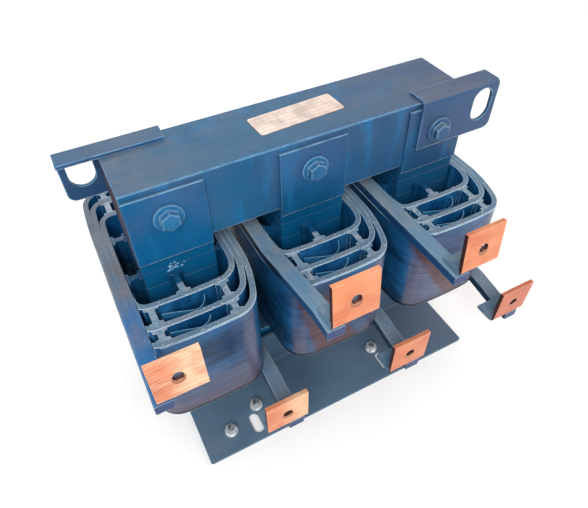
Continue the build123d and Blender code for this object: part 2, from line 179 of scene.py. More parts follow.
def sprayedVarnish(name, look):
    here = startMaterial(name, look["edgeRadius"])
    tree, point = here.tree, here.point

    # painted reflection: a greyer tone that grows towards the right
    rightLight = zone(tree, (here.x, look["rightLightFrom"], look["rightLightTo"]))
    rightLit = overlap(tree, rightLight, patches(tree, point, look["rightLightPatch"], look["rightLightShare"], 0.5))
    # painted reflection in broad greyish-violet patches, and as a sheen in a band up high
    reflected = patches(tree, point, look["reflectionPatch"], look["reflectionShare"], stretch=(0.5, 1, 1.4), detail=2.0)
    sheen = overlap(tree, zone(tree, (here.z, look["sheenFrom"], look["sheenTo"])),
                    patches(tree, point, look["sheenPatch"], look["sheenShare"], detail=2.0))
    runs = patches(tree, point, look["runPatch"], look["runShare"], stretch=(0.8, 1, 4), detail=3.0)
    body = coats(
        tree, look["deep"], (patches(tree, point, look["brightPatch"], detail=2.0), look["bright"]),
        (rightLit, look["rightLight"]), (reflected, look["reflection"]), (sheen, look["reflection"]), (runs, look["run"]),
    )

    # dust lies in broad patches with streaks along the yoke, and greys to the right with the painted
    # reflection; soil lies in small flecks and near the left end
    dustAndSheenPatches = patches(tree, point, look["driftPatch"], look["dustShare"], look["dustLeast"],
                     stretch=(1.6, 0.7, 1), detail=5.0)
    streaks = patches(tree, point, look["streakPatch"], look["streakShare"], stretch=(30, 1, 1), detail=3.0)
    flecks = patches(tree, point, look["fleckPatch"], look["soilShare"], stretch=(1.6, 1, 1), detail=7.0)
    nearEnd = zone(tree, (here.x, look["endFrom"], look["endTo"]))
    drifted = patches(tree, point, look["endPatch"], look["soilShare"], stretch=(1.5, 1, 1), detail=6.0)
    dusty = overlap(tree, here.up, dustAndSheenPatches)
    dust = coats(
        tree, look["dust"], (rightLight, look["dustFar"]), (streaks, look["bright"]), (flecks, look["soil"]),
        (overlap(tree, nearEnd, drifted), look["soil"]),
    )

    # scratches are fine light lines in two directions; each edge carries a painted highlight line, and the
    # edges that face down another painted tone
    scratches = [
        patches(tree, point, look["scratchPatch"], look["scratchShare"], stretch=(22, 1, 1), turn=turn,
                detail=1.0)
        for turn in look["scratchTurns"]
    ]
    softZ = add(tree, "SeparateXYZ", {0: here.soft}, 2)
    tilt = add(tree, "Math", {0: softZ}, operation="ABSOLUTE")
    edgeKind = add(tree, "MapRange", {
        0: tilt, 1: 0.1, 2: 0.25, 3: look["uprightEdges"], 4: look["levelEdges"],
    })
    highlightPatches = patches(tree, point, look["edgePatch"], look["edgeShare"], 0.45 * look["edgeShare"])
    edgeHighlight = overlap(tree, here.edges, highlightPatches, edgeKind)
    paintedDownEdge = overlap(tree, edgeHighlight, zone(tree, (softZ, -0.08, -0.3)))

    leftEnd = zone(tree, (here.faceX, -0.5, -0.9), (here.x, look["missedFrom"], look["missedTo"]))
    bareShare = look["missedShare"]
    bare = patches(tree, point, look["missedPatch"], bareShare, 0.4 * bareShare, detail=6.0)
    missed = overlap(tree, leftEnd, bare)
    tone = coats(
        tree, body, (missed, look["missed"]), (dusty, dust), (scratches[0], look["edge"]),
        (scratches[1], look["edge"]), (edgeHighlight, look["edge"]), (paintedDownEdge, look["edgeBelow"]),
    )

    gloss = add(tree, "MapRange", {0: dusty, 3: look["gloss"], 4: look["dull"]})
    uneven = patches(tree, point, look["unevenPatch"], look["uneven"])
    rough = add(tree, "Math", {0: gloss, 1: uneven}, operation="ADD")
    relief = add(tree, "Math", {
        0: patches(tree, point, look["sagPatch"], stretch=(1, 1, 6)),  # sags, down the walls
        1: patches(tree, point, look["peelPatch"], look["peelShare"]),  # orange peel
    }, operation="ADD")
    return finishMaterial(
        here, relief, look["relief"], Base_Color=tone, IOR=1.5, Specular_IOR_Level=0.35,
        Specular_Tint="#7DB2DA", Roughness=add(tree, "Mix", {0: missed, 2: rough, 3: look["missedDull"]}),
    )


dress(sprayedVarnish("blue_sprayed_varnish_yokes", yokeLook), "bottom_yoke", "top_yoke")
clampNodes = [f"clamp_plates_{level}_{side}" for level in ("top", "bottom") for side in ("front", "rear")]
dress(sprayedVarnish("blue_sprayed_varnish_clamp_plates", clampLook), *clampNodes)
bracketVarnish = sprayedVarnish("blue_sprayed_varnish_brackets", bracketLook)
dress(bracketVarnish, "bracket_front_right", "bracket_rear_left")
dress(sprayedVarnish("blue_sprayed_varnish_bolts", boltLook), "yoke_bolts", "yoke_nuts")
limbNodes = [f"{kind}_{coil}" for kind in ("limb_blocks", "gap_pads") for coil in coilNames]
dress(sprayedVarnish("blue_sprayed_varnish_limbs", limbLook), *limbNodes)
dress(sprayedVarnish("grey_blue_sprayed_varnish_feet", footLook), "foot_front", "foot_rear")
print("core, plates, brackets and feet painted")


# Dipped winding: flat conductor wrapped in glass tape, dipped in varnish and then sprayed. The rims are pale
# and dusty, brown-grey at the left rear where little spray came, with light specks of painted glint and a
# painted highlight along their edges, brighter where they face the front. The walls in the ducts are deep
# blue and wet-looking, with lighter patches of painted light.
windingLook = {
    "wall": "#0B4370", "wallBright": "#266CA2", "wallPatch": (26 * mm, 0.36, 0.66),
    "rim": "#6F7C88", "rimBlue": "#587084", "rimPatch": (38 * mm, 0.36, 0.62),
    "speckShare": 0.2, "speckPatch": (4 * mm, 0.6, 0.8),
    "rimHighlight": "#B2D6E8", "edgeShare": 0.95, "edgeRadius": 1.7 * mm, "edgePatch": (18 * mm, 0.32, 0.6),
    "glint": "#DCEFF8", "glintShare": 0.9, "glintPatch": (30 * mm, 0.3, 0.5),
    "glintFrom": -60 * mm, "glintTo": -80 * mm,
    "rimRear": "#575158", "rearShare": 0.7, "leftFrom": -185 * mm, "leftTo": -215 * mm,
    "rearFrom": -40 * mm, "rearTo": 20 * mm,
    "relief": 0.15 * mm, "reliefPatch": (7 * mm, 0.2, 0.8), "roughPatch": (22 * mm, 0.3, 0.7),
}


def rimTone(tree, here):  # pale varnish with bluer places and light specks of painted glint
    look = windingLook
    return coats(
        tree, look["rim"], (patches(tree, here.point, look["rimPatch"]), look["rimBlue"]),
        (patches(tree, here.point, look["speckPatch"], look["speckShare"]), look["rimHighlight"]),
    )


def rearLeft(tree, here):  # the rims at the left rear
    look = windingLook
    place = zone(tree, (here.x, look["leftFrom"], look["leftTo"]), (here.y, look["rearFrom"], look["rearTo"]))
    return overlap(tree, here.up, place, look["rearShare"])


def ductVarnish(name):
    look = windingLook
    here = startMaterial(name, look["edgeRadius"])
    tree, point = here.tree, here.point
    softY = add(tree, "SeparateXYZ", {0: here.soft}, 1)
    inFront = zone(tree, (softY, -0.1, -0.3), (here.y, look["glintFrom"], look["glintTo"]))
    # painted highlight on the rims' edges, brighter glints at the front, painted light on the duct walls
    highlightPatches = patches(tree, point, look["edgePatch"], look["edgeShare"], 0.4)
    glints = patches(tree, point, look["glintPatch"], look["glintShare"], 0.4)
    tone = coats(
        tree, look["wall"],
        (patches(tree, point, look["wallPatch"], stretch=(1, 1, 1.8)), look["wallBright"]),
        (here.up, rimTone(tree, here)),
        (overlap(tree, here.edges, highlightPatches), look["rimHighlight"]),
        (overlap(tree, here.edges, inFront, glints), look["glint"]),
        (rearLeft(tree, here), look["rimRear"]),
    )
    return finishMaterial(
        here, patches(tree, point, look["reliefPatch"], detail=3.0), look["relief"], Base_Color=tone,
        IOR=1.52, Roughness=patches(tree, point, look["roughPatch"], 0.46, 0.24), Specular_IOR_Level=0.45,
        Specular_Tint="#9CC3E0",
    )


# Varnished laminate: glass-filled board and film under the same dip, pale and lumpy where varnish pooled,
# with light specks and edge lines of painted glint
laminateLook = {
    "end": "#83919D", "endBlue": "#617E93", "bluePatch": (8 * mm, 0.36, 0.64), "wall": "#124C74",
    "glint": "#D3E5EE", "glintShare": 0.75, "glintPatch": (2.5 * mm, 0.6, 0.75),
    "edgeRadius": 0.9 * mm, "edgePatch": (6 * mm, 0.3, 0.6),
    "relief": 0.5 * mm, "lumpPatch": (5 * mm, 0.2, 0.8), "roughPatch": (7 * mm, 0.3, 0.7),
    "dark": "#083F63", "darkTo": 66 * mm, "fade": 6 * mm,
}
filmCoat = dict(laminateLook, end="#6592AF", endBlue="#5485A5", wall="#26658F", lumpPatch=(9 * mm, 0.2, 0.8),
                glintShare=0.05)
beadCoat = dict(laminateLook, end="#86AFCA", endBlue="#5F92B8", wall="#3F7BA8")


def varnishedLaminate(name, look, halfDark=False):
    here = startMaterial(name, look["edgeRadius"])
    tree, point = here.tree, here.point
    # light specks and edge lines of painted glint
    ends = coats(tree, look["end"], (patches(tree, point, look["bluePatch"]), look["endBlue"]),
                 (patches(tree, point, look["glintPatch"], look["glintShare"]), look["glint"]))
    edgeHighlight = overlap(tree, here.edges, patches(tree, point, look["edgePatch"], look["glintShare"]))
    tone = coats(tree, look["wall"], (here.up, ends), (edgeHighlight, look["glint"]))
    if halfDark:  # the half that lies against the limb is dark blue
        fromMiddle = add(tree, "Math", {0: here.y}, operation="ABSOLUTE")
        nearLimb = zone(tree, (fromMiddle, look["darkTo"], look["darkTo"] - look["fade"]))
        tone = coats(tree, tone, (nearLimb, look["dark"]))
    return finishMaterial(
        here, patches(tree, point, look["lumpPatch"], detail=5.0), look["relief"], Base_Color=tone, IOR=1.52,
        Roughness=patches(tree, point, look["roughPatch"], 0.42, 0.2), Specular_IOR_Level=0.5,
    )


ductWalls = ductVarnish("dipped_winding_varnish")
stickLaminate = varnishedLaminate("varnished_laminate_sticks", laminateLook)
limbStickLaminate = varnishedLaminate("varnished_laminate_limb_sticks", laminateLook, halfDark=True)
filmMaterial = varnishedLaminate("varnished_film", filmCoat)
beadVarnish = varnishedLaminate("varnish_beads", beadCoat)
for coil in coilNames:
    dress(ductWalls, *[f"winding_{coil}_{layer}" for layer in ("inner", "middle", "outer")])
    dress(limbStickLaminate, f"limb_sticks_{coil}")
    dress(stickLaminate, f"inner_duct_sticks_{coil}", f"outer_duct_sticks_{coil}")
print("windings and sticks varnished")


# Varnished lead: three flat bars side by side under one coat, pale on top and bluer towards the terminal,
# with light specks of painted glint. The sides and the front end are dark with painted shade, brown in
# places, and the edges carry a painted highlight.
leadLook = {
    "top": "#76848F", "topBlue": "#5C7A92", "bluePatch": (15 * mm, 0.36, 0.64),
    "topNear": "#5F86A2", "topNearShare": 0.45, "nearPatch": (34 * mm, 0.34, 0.56),
    "nearFrom": -85 * mm, "nearTo": -130 * mm,
    "side": "#101622", "sideBlue": "#1A3352", "sidePatch": (40 * mm, 0.42, 0.66), "sideNear": "#184068",
    "brown": "#2B1A1C", "brownShare": 0.8, "brownPatch": (26 * mm, 0.46, 0.62), "end": "#1D3360",
    "edge": "#B4CCDA", "edgeShare": 0.8, "edgeRadius": 1.2 * mm, "edgePatch": (12 * mm, 0.3, 0.6),
    "speckShare": 0.35, "speckPatch": (2.5 * mm, 0.6, 0.75), "bars": 3, "width": 18.6 * mm, "seam": 0.06,
    "relief": 0.2 * mm, "reliefPatch": (7 * mm, 0.2, 0.8), "roughPatch": (15 * mm, 0.3, 0.7),
}
topLeadLooks = {
    "1": dict(leadLook, top="#666770", topBlue="#596B7E", topNear="#2C6294", topNearShare=1.0,
              nearFrom=-45 * mm, nearTo=-95 * mm),
    "2": leadLook,
    "3": dict(leadLook, side="#133C66", sideBlue="#1B4D7C", brownShare=0.15),
}
# the bottom leads' sides carry deeper painted shade
bottomLeadLook = dict(leadLook, top="#64727F", topBlue="#54697E", topNearShare=0.0, side="#0D0C10",
                      sideBlue="#131B28", sideNear="#1E2E42")


def varnishedLead(name, look, low):
    here = startMaterial(name, look["edgeRadius"])
    tree, point = here.tree, here.point
    near = zone(tree, (here.y, look["nearFrom"], look["nearTo"]))
    bluerNearEnd = overlap(tree, near, patches(tree, point, look["nearPatch"], 1.0, 0.45), look["topNearShare"])
    top = coats(
        tree, look["top"], (patches(tree, point, look["bluePatch"], stretch=(1, 2.5, 1)), look["topBlue"]),
        (patches(tree, point, look["speckPatch"], look["speckShare"]), look["edge"]),
        (bluerNearEnd, look["topNear"]),
    )
    # painted shade down the sides and on the front end, brown in places
    brown = patches(tree, point, look["brownPatch"], look["brownShare"], stretch=(1, 2.5, 1))
    side = coats(
        tree, look["side"], (patches(tree, point, look["sidePatch"]), look["sideBlue"]),
        (brown, look["brown"]), (near, look["sideNear"]),
        (zone(tree, (here.faceY, -0.7, -0.95)), look["end"]),
    )
    edgeHighlight = overlap(tree, here.edges, patches(tree, point, look["edgePatch"], look["edgeShare"], 0.2))
    across = add(tree, "MapRange", {0: here.x, 1: low[0], 2: low[0] + look["width"], 4: look["bars"]})
    fromSeam = add(tree, "Math", {0: across, 1: 0.5}, operation="PINGPONG")
    relief = add(tree, "Math", {
        0: zone(tree, (fromSeam, 0.0, look["seam"])),
        1: patches(tree, point, look["reliefPatch"], 0.8, stretch=(1, 2, 1)),
    }, operation="ADD")
    return finishMaterial(
        here, relief, look["relief"], Base_Color=coats(tree, side, (here.up, top), (edgeHighlight, look["edge"])),
        IOR=1.52, Roughness=patches(tree, point, look["roughPatch"], 0.5, 0.32), Specular_IOR_Level=0.4,
        Specular_Tint="#A9C8E2",
    )


# Sheared copper bar, brushed: warm bare metal on the leaf, pale in patches with painted reflection, darker
# in patches with painted shade, painted shade on its left edge face and in its hole, and a painted highlight
# on its edges. The foot and the leaf's back are under the varnish, up to a ragged line. The brush's strokes
# lie level, each about a millimetre wide, drawn wider than real grit so that they show.
copperLook = {
    "bright": "#DC8A60", "warm": "#CC7450", "warmShare": 0.9, "warmPatch": (24 * mm, 0.36, 0.66),
    "pale": "#F6D8B0", "palePatch": (16 * mm, 0.3, 0.55), "paleFrom": 10 * mm,
    "dull": "#B4604A", "dullPatch": (20 * mm, 0.3, 0.6),
    "stroke": "#F6E2C8", "strokePatch": (0.8 * mm, 0.46, 0.72),
    "shadow": "#9A5E45", "shadowPatch": (1.0 * mm, 0.5, 0.72), "grainPatch": (1.0 * mm, 0.3, 0.7),
    "edgeShare": 0.75, "edgeRadius": 0.7 * mm, "edgePatch": (8 * mm, 0.3, 0.6),
    "dark": "#4E2B28", "hole": "#583A31", "rim": "#A4694E",
    "paint": "#64798A", "paintDeep": "#4A6780", "paintPatch": (20 * mm, 0.4, 0.62),
    "ragged": 1.2 * mm, "raggedPatch": (6 * mm, 0.2, 0.8), "tideFoot": 0.35, "tideRise": 1.7,
    "relief": 0.03 * mm, "roughPatch": (20 * mm, 0.3, 0.7), "metalPatch": (30 * mm, 0, 1),
    "leafHeight": 55 * mm, "thickness": 5 * mm, "holeRadius": 5.5 * mm, "lean": {"top": 6.5, "bottom": 0.0},
    "finish": {  # how much of each leaf is brushed, pale with painted reflection, and dark with painted shade
        "top_1": (0.65, 0.95, 0.3), "top_2": (0.15, 0.1, 0.0), "top_3": (0.15, 0.1, 0.15),
        "bottom_1": (0.3, 0.55, 0.0), "bottom_2": (0.15, 0.1, 0.2), "bottom_3": (0.15, 0.0, 0.8),
    },
}


def brushedCopper(name, level, place, low, high):
    look = copperLook
    brushed, pale, dull = look["finish"][place]
    here = startMaterial(name, look["edgeRadius"])
    tree, point = here.tree, here.point

    # the depth behind the leaning leaf's front, set against the varnish's tide line, which rises up the leaf
    slope = math.tan(math.radians(look["lean"][level]))
    height = add(tree, "Math", {0: here.z, 1: low[2]}, operation="SUBTRACT")
    front = add(tree, "Math", {0: height, 1: slope, 2: low[1]}, operation="MULTIPLY_ADD")
    depth = add(tree, "Math", {0: here.y, 1: front}, operation="SUBTRACT")
    rise = look["tideRise"] * look["thickness"] / look["leafHeight"]
    foot = look["tideFoot"] * look["thickness"]
    tide = add(tree, "Math", {0: height, 1: rise, 2: foot}, operation="MULTIPLY_ADD")
    ragged = patches(tree, point, look["raggedPatch"], look["ragged"], -look["ragged"])
    tide = add(tree, "Math", {0: tide, 1: ragged}, operation="ADD")
    bare = zone(tree, (add(tree, "Math", {0: tide, 1: depth}, operation="SUBTRACT"), -0.3 * mm, 0.2 * mm))

    light = patches(tree, point, look["strokePatch"], brushed, stretch=(30, 1, 1), detail=3.0)
    shade = patches(tree, point, look["shadowPatch"], 0.8 * brushed, stretch=(18, 1, 1), detail=3.0)
    # pale patches of painted reflection away from the sides, and darker patches of painted shade
    paleReflection = overlap(tree, zone(tree, (here.x, low[0] + look["paleFrom"], high[0] - look["paleFrom"])),
                     patches(tree, point, look["palePatch"], pale, 0.5 * pale))
    dulled = patches(tree, point, look["dullPatch"], dull, 0.6 * dull, stretch=(2, 1, 1))
    holeCentre = ((low[0] + high[0]) / 2, 0, low[2] + look["leafHeight"] / 2)
    flat = add(tree, "CombineXYZ", {0: here.x, 2: here.z})
    fromHole = add(tree, "VectorMath", {0: flat, 1: holeCentre}, "Value", operation="DISTANCE")
    radius = look["holeRadius"]
    inHole = zone(tree, (fromHole, radius + 0.5 * mm, radius + 0.2 * mm), (depth, 0.2 * mm, 0.8 * mm))
    holeRim = zone(tree, (fromHole, radius + 1.6 * mm, radius + 0.7 * mm))
    edgeHighlight = overlap(tree, here.edges, patches(tree, point, look["edgePatch"], look["edgeShare"], 0.2))
    # painted shade on the left edge face and in the hole, and a painted highlight on the edges
    metal = coats(
        tree, look["bright"], (patches(tree, point, look["warmPatch"], look["warmShare"]), look["warm"]),
        (paleReflection, look["pale"]), (dulled, look["dull"]), (light, look["stroke"]), (shade, look["shadow"]),
        (holeRim, look["rim"]), (edgeHighlight, look["stroke"]), (zone(tree, (here.faceX, -0.4, -0.8)), look["dark"]),
        (inHole, look["hole"]),
    )
    paint = coats(tree, look["paint"], (patches(tree, point, look["paintPatch"]), look["paintDeep"]))
    cloudy = patches(tree, point, look["roughPatch"], 0.5, 0.38)
    grain = patches(tree, point, look["grainPatch"], stretch=(30, 1, 1))
    return finishMaterial(
        here, overlap(tree, bare, grain), look["relief"], Base_Color=coats(tree, paint, (bare, metal)),
        Metallic=overlap(tree, bare, patches(tree, point, look["metalPatch"], 0.7, 0.55)),
        Roughness=add(tree, "Math", {0: light, 1: cloudy}, operation="MAXIMUM"),
    )


for coil in coilNames:
    for level in ("top", "bottom"):
        place = f"{level}_{coil}"
        lead, terminal = f"{level}_lead_{coil}", f"{level}_terminal_{coil}"
        look = topLeadLooks[coil] if level == "top" else bottomLeadLook
        dress(varnishedLead(f"varnished_{lead}", look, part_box(lead)[0]), lead)
        dress(brushedCopper(f"brushed_copper_{place}", level, place, *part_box(terminal)), terminal)
print("leads and terminals finished")


# Bright zinc plate on turned steel: pale grey and cloudy, with the stud's thread as fine rings
zincLook = {
    "pale": "#EEF1F2", "cloud": "#B4BCC0", "stud": "#5E666B", "cloudPatch": (5 * mm, 0.4, 0.7),
    "edgeRadius": 0.4 * mm, "threadPitch": 1.25 * mm, "threadDepth": 0.4 * mm, "dents": 0.15,
    "dentPatch": (2 * mm, 0.2, 0.8), "roughPatch": (5 * mm, 0.3, 0.7),
}


def zincPlate(name, threaded):
    look = zincLook
    here = startMaterial(name, look["edgeRadius"])
    tree, point = here.tree, here.point
    metal = look["stud"] if threaded else look["pale"]
    relief = patches(tree, point, look["dentPatch"], look["dents"])
    if threaded:
        ring = add(tree, "Math", {0: here.z, 1: look["threadPitch"] / 2}, operation="PINGPONG")
        relief = add(tree, "MapRange", {0: ring, 2: look["threadPitch"] / 2})
    return finishMaterial(
        here, relief, look["threadDepth"], Metallic=0.55,
        Base_Color=coats(tree, metal, (patches(tree, point, look["cloudPatch"]), look["cloud"])),
        Roughness=patches(tree, point, look["roughPatch"], 0.45, 0.28),
    )


dress(zincPlate("bright_zinc_studs", True), "foot_studs")
dress(zincPlate("bright_zinc_nuts", False), "foot_stud_nuts")


# Printed aluminium plate: pale lacquer with ruled fields that are left blank
labelLook = {
    "face": "#D2BDB1", "shade": "#B29F95", "shadePatch": (18 * mm, 0.38, 0.7),
    "rule": "#74696A", "rulePatch": (12 * mm, 0.25, 0.6), "dirt": "#7D6E64", "dirtPatch": (5 * mm, 0.6, 0.8),
    "pitch": 6.2 * mm, "column": 22 * mm, "line": 0.45 * mm, "margin": 3 * mm, "marginFade": 0.3 * mm,
    "length": 102 * mm, "width": 34 * mm, "turn": 3.3, "edgeRadius": 0.3 * mm,
    "relief": 0.05 * mm, "reliefPatch": (9 * mm, 0.2, 0.8), "roughPatch": (18 * mm, 0.3, 0.7),
}


def printedPlate(name, low, high):
    look = labelLook
    here = startMaterial(name, look["edgeRadius"])
    tree, point = here.tree, here.point
    centre = tuple((a + b) / 2 for a, b in zip(low, high))
    turn = (0, 0, math.radians(look["turn"]))
    level = add(tree, "Mapping", {"Vector": point, "Location": centre, "Rotation": turn},
                vector_type="TEXTURE")
    along, across, _ = add(tree, "SeparateXYZ", {0: level}, slice(3))
    rules = []
    for value, pitch in ((across, look["pitch"]), (along, look["column"])):
        near = add(tree, "Math", {0: value, 1: pitch / 2}, operation="PINGPONG")
        rules.append(zone(tree, (near, look["line"], 0.4 * look["line"])))
    ruled = add(tree, "Math", {0: rules[0], 1: rules[1]}, operation="MAXIMUM")
    inside = []
    for value, size in ((along, look["length"]), (across, look["width"])):
        away = add(tree, "Math", {0: value}, operation="ABSOLUTE")
        reach = size / 2 - look["margin"]
        inside.append(zone(tree, (away, reach, reach - look["marginFade"])))
    printed = overlap(tree, ruled, *inside, patches(tree, point, look["rulePatch"], 0.65, 0.3))
    tone = coats(
        tree, look["face"], (patches(tree, point, look["shadePatch"], detail=5.0), look["shade"]),
        (printed, look["rule"]), (patches(tree, point, look["dirtPatch"], 0.4, detail=6.0), look["dirt"]),
    )
    return finishMaterial(here, patches(tree, point, look["reliefPatch"]), look["relief"], Base_Color=tone,
                          Roughness=patches(tree, point, look["roughPatch"], 0.45, 0.3))


dress(printedPlate("printed_aluminium_plate", *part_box("nameplate")), "nameplate")
print("fasteners and plate finished")


# New meshes

def meshPiece(name, points, faces, material, smooth=True):
    mesh = bpy.data.meshes.new(name)
    mesh.from_pydata(points.reshape(-1, 3).tolist(), [], faces.reshape(-1, 4).tolist())
    shell = bmesh.new()  # points that meet are merged, so that poles close, and then all faces turn outwards
    shell.from_mesh(mesh)
    bmesh.ops.remove_doubles(shell, verts=shell.verts, dist=0.002 * mm)
    bmesh.ops.recalc_face_normals(shell, faces=shell.faces)
    shell.to_mesh(mesh)
    shell.free()
    mesh.polygons.foreach_set("use_smooth", np.full(len(mesh.polygons), smooth))
    mesh.materials.append(material)
    piece = bpy.data.objects.new(name, mesh)
    bpy.context.scene.collection.objects.link(piece)
    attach(piece, "root")


def gridFaces(rows, columns, closeRows=False, closeColumns=False):  # four-sided faces over a grid of points
    r = np.arange(rows if closeRows else rows - 1)[:, None]
    c = np.arange(columns if closeColumns else columns - 1)[None, :]
    nextR, nextC = (r + 1) % rows, (c + 1) % columns
    return np.stack([r * columns + c, r * columns + nextC, nextR * columns + nextC, nextR * columns + c], -1)


outlineSteps = {"directions": 1440, "slice": 1 * mm, "closest": 0.05 * mm, "reach": 3}


def outline(nodeName, count):
    # The rounded outside of a node, seen from above: for each of many directions the furthest corner of its
    # lowest slice, then points evenly spaced along the line through those corners. The normal is square to
    # the way from the point a few before to the one a few after, and looks outwards.
    look = outlineSteps
    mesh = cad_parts[nodeName].data
    flat = np.empty(len(mesh.vertices) * 3)
    mesh.vertices.foreach_get("co", flat)
    foot = flat.reshape(-1, 3)
    foot = foot[foot[:, 2] < foot[:, 2].min() + look["slice"]][:, :2]
    angles = np.linspace(0, 2 * math.pi, look["directions"], endpoint=False)
    ring = foot[np.argmax(foot @ np.stack([np.cos(angles), np.sin(angles)]), axis=0)]
    ring = ring[np.linalg.norm(ring - np.roll(ring, 1, 0), axis=1) > look["closest"]]
    loop = np.vstack([ring, ring[:1]])
    run = np.concatenate([[0], np.cumsum(np.linalg.norm(np.diff(loop, axis=0), axis=1))])
    spots = np.linspace(0, run[-1], count, endpoint=False)
    line = np.stack([np.interp(spots, run, loop[:, i]) for i in (0, 1)], 1)
    along = np.roll(line, -look["reach"], 0) - np.roll(line, look["reach"], 0)
    along /= np.linalg.norm(along, axis=1)[:, None]
    return line, np.stack([along[:, 1], -along[:, 0]], 1), spots


# Wrapped turns round each outer layer: a closed skin over the layer's outside
skinLook = {
    "around": 360, "perTurn": 9, "turns": 10, "swell": 0.16 * mm, "proud": 0.06 * mm, "inside": 0.9 * mm,
    "trim": 0.6 * mm, "sharp": 5, "sway": 0.2, "seed": 40, "margin": 3 * mm,
    "leadHeight": 12.4 * mm, "leadRear": 30 * mm, "leadBend": -62 * mm, "leadFoot": 32 * mm,
}


def leadUnderside(coil, x, y, coilTop):
    # How high the outer wall may reach: the coil's top, but under the lead the lead's underside, which is
    # level as far as the bend and then runs straight to the terminal's foot.
    look = skinLook
    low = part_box(f"top_terminal_{coil}")[0]
    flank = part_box(f"top_lead_{coil}")[0][0]
    share = np.clip((look["leadBend"] - y) / (look["leadBend"] - (low[1] + look["leadFoot"])), 0, 1)
    underside = coilTop - look["leadHeight"] + share * (low[2] - coilTop)
    covered = (x < flank + leadLook["width"] + look["margin"]) & (y < look["leadRear"] + look["margin"])
    return np.where(covered, np.minimum(underside, coilTop), coilTop)


def turnSkin(coil, material):
    # Across a turn the wall swells by 1 - |2t - 1|^sharp, flat in the middle and steep at the joint, where t
    # is the share of the turn's height. Each turn's swell also sways a little round the coil, as three added
    # sines.
    look = skinLook
    low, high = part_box(f"winding_{coil}_outer")
    line, normal, spots = outline(f"winding_{coil}_outer", look["around"])
    ceiling = leadUnderside(coil, line[:, 0], line[:, 1], high[2]) - look["trim"]
    floorLevel = low[2] + look["trim"]
    share = np.linspace(0, 1, look["turns"] * look["perTurn"] + 1)
    height = floorLevel + share[None, :] * (ceiling[:, None] - floorLevel)
    turn = (height - low[2]) / (high[2] - low[2]) * look["turns"]
    number = np.clip(turn.astype(int), 0, look["turns"] - 1)
    draw = np.random.default_rng(look["seed"] + int(coil))
    phase = draw.uniform(0, 2 * math.pi, (look["turns"], 3))
    wave = 2 * math.pi * spots / spots[-1]
    sway = sum(np.sin((k + 2) * wave[:, None] + phase[number, k]) for k in range(3)) / 3
    crown = 1 - np.abs(2 * (turn - number) - 1) ** look["sharp"]
    outward = look["proud"] + look["swell"] * crown * (1 - look["sway"] + look["sway"] * sway)
    wall = np.concatenate([line[:, None] + normal[:, None] * outward[..., None], height[..., None]], 2)
    inner = line - normal * look["inside"]
    back = np.stack([np.column_stack([inner, height[:, -1]]), np.column_stack([inner, height[:, 0]])], 1)
    points = np.concatenate([wall, back], 1)
    faces = gridFaces(*points.shape[:2], True, True)
    meshPiece(f"winding_{coil}_turns", points, faces, material)


# Turn wrap: the outer layer's wall, seen from outside. The turns show as faint level lines, and a painted
# violet sheen, a reflection, sits on the corners and in patches on the front. Brown-red level streaks lie
# beside and under the lead. A painted highlight runs along the top, and a near-black painted shadow along
# the foot.
wrapLook = {
    "deep": "#0F3454", "blue": "#1A527E", "bluePatch": (42 * mm, 0.36, 0.6),
    "line": "#080A12", "jointPatch": (24 * mm, 0.35, 0.6), "fadePatch": (90 * mm, 0.4, 0.6),
    "sway": 0.12, "swayPatch": (60 * mm, 0.2, 0.8), "lineFrom": 7.5 * mm, "lineTo": 4 * mm,
    "sheen": "#55566C", "sheenShare": 0.95, "sheenPatch": (14 * mm, 0.34, 0.6),
    "left": (-0.6, -0.8, 0), "right": (0.35, -0.94, 0), "leftFade": 45 * mm,
    "leftTop": {"1": 133 * mm, "2": 92 * mm, "3": 120 * mm},
    "frontSheen": {"1": 0.6, "2": 0.25, "3": 0.75}, "frontPatch": (22 * mm, 0.3, 0.6), "frontFade": 60 * mm,
    "frontTop": {"1": 90 * mm, "2": 60 * mm, "3": 150 * mm},
    "low": "#4B3A47", "lowShare": {"1": 0.85, "2": 0.3, "3": 0.3}, "lowFrom": 34 * mm, "lowTo": 8 * mm,
    "streakPatch": (4 * mm, 0.34, 0.58), "brownBand": "#481C11", "brownBandFrom": 118 * mm, "brownBandTo": 100 * mm,
    "brownBandLeft": 10 * mm, "brownBandRight": 12 * mm,
    "brownBands": {"2": (0.22, 29 * mm, 94 * mm), "3": (0.58, 62 * mm, 108 * mm)},  # slant, left and right side
    "topFrom": 3.2 * mm, "topTo": 1.6 * mm, "topPatch": (20 * mm, 0.3, 0.6),
    "relief": 0.18 * mm, "reliefPatch": (5 * mm, 0.2, 0.8), "roughPatch": (25 * mm, 0.3, 0.7),
}


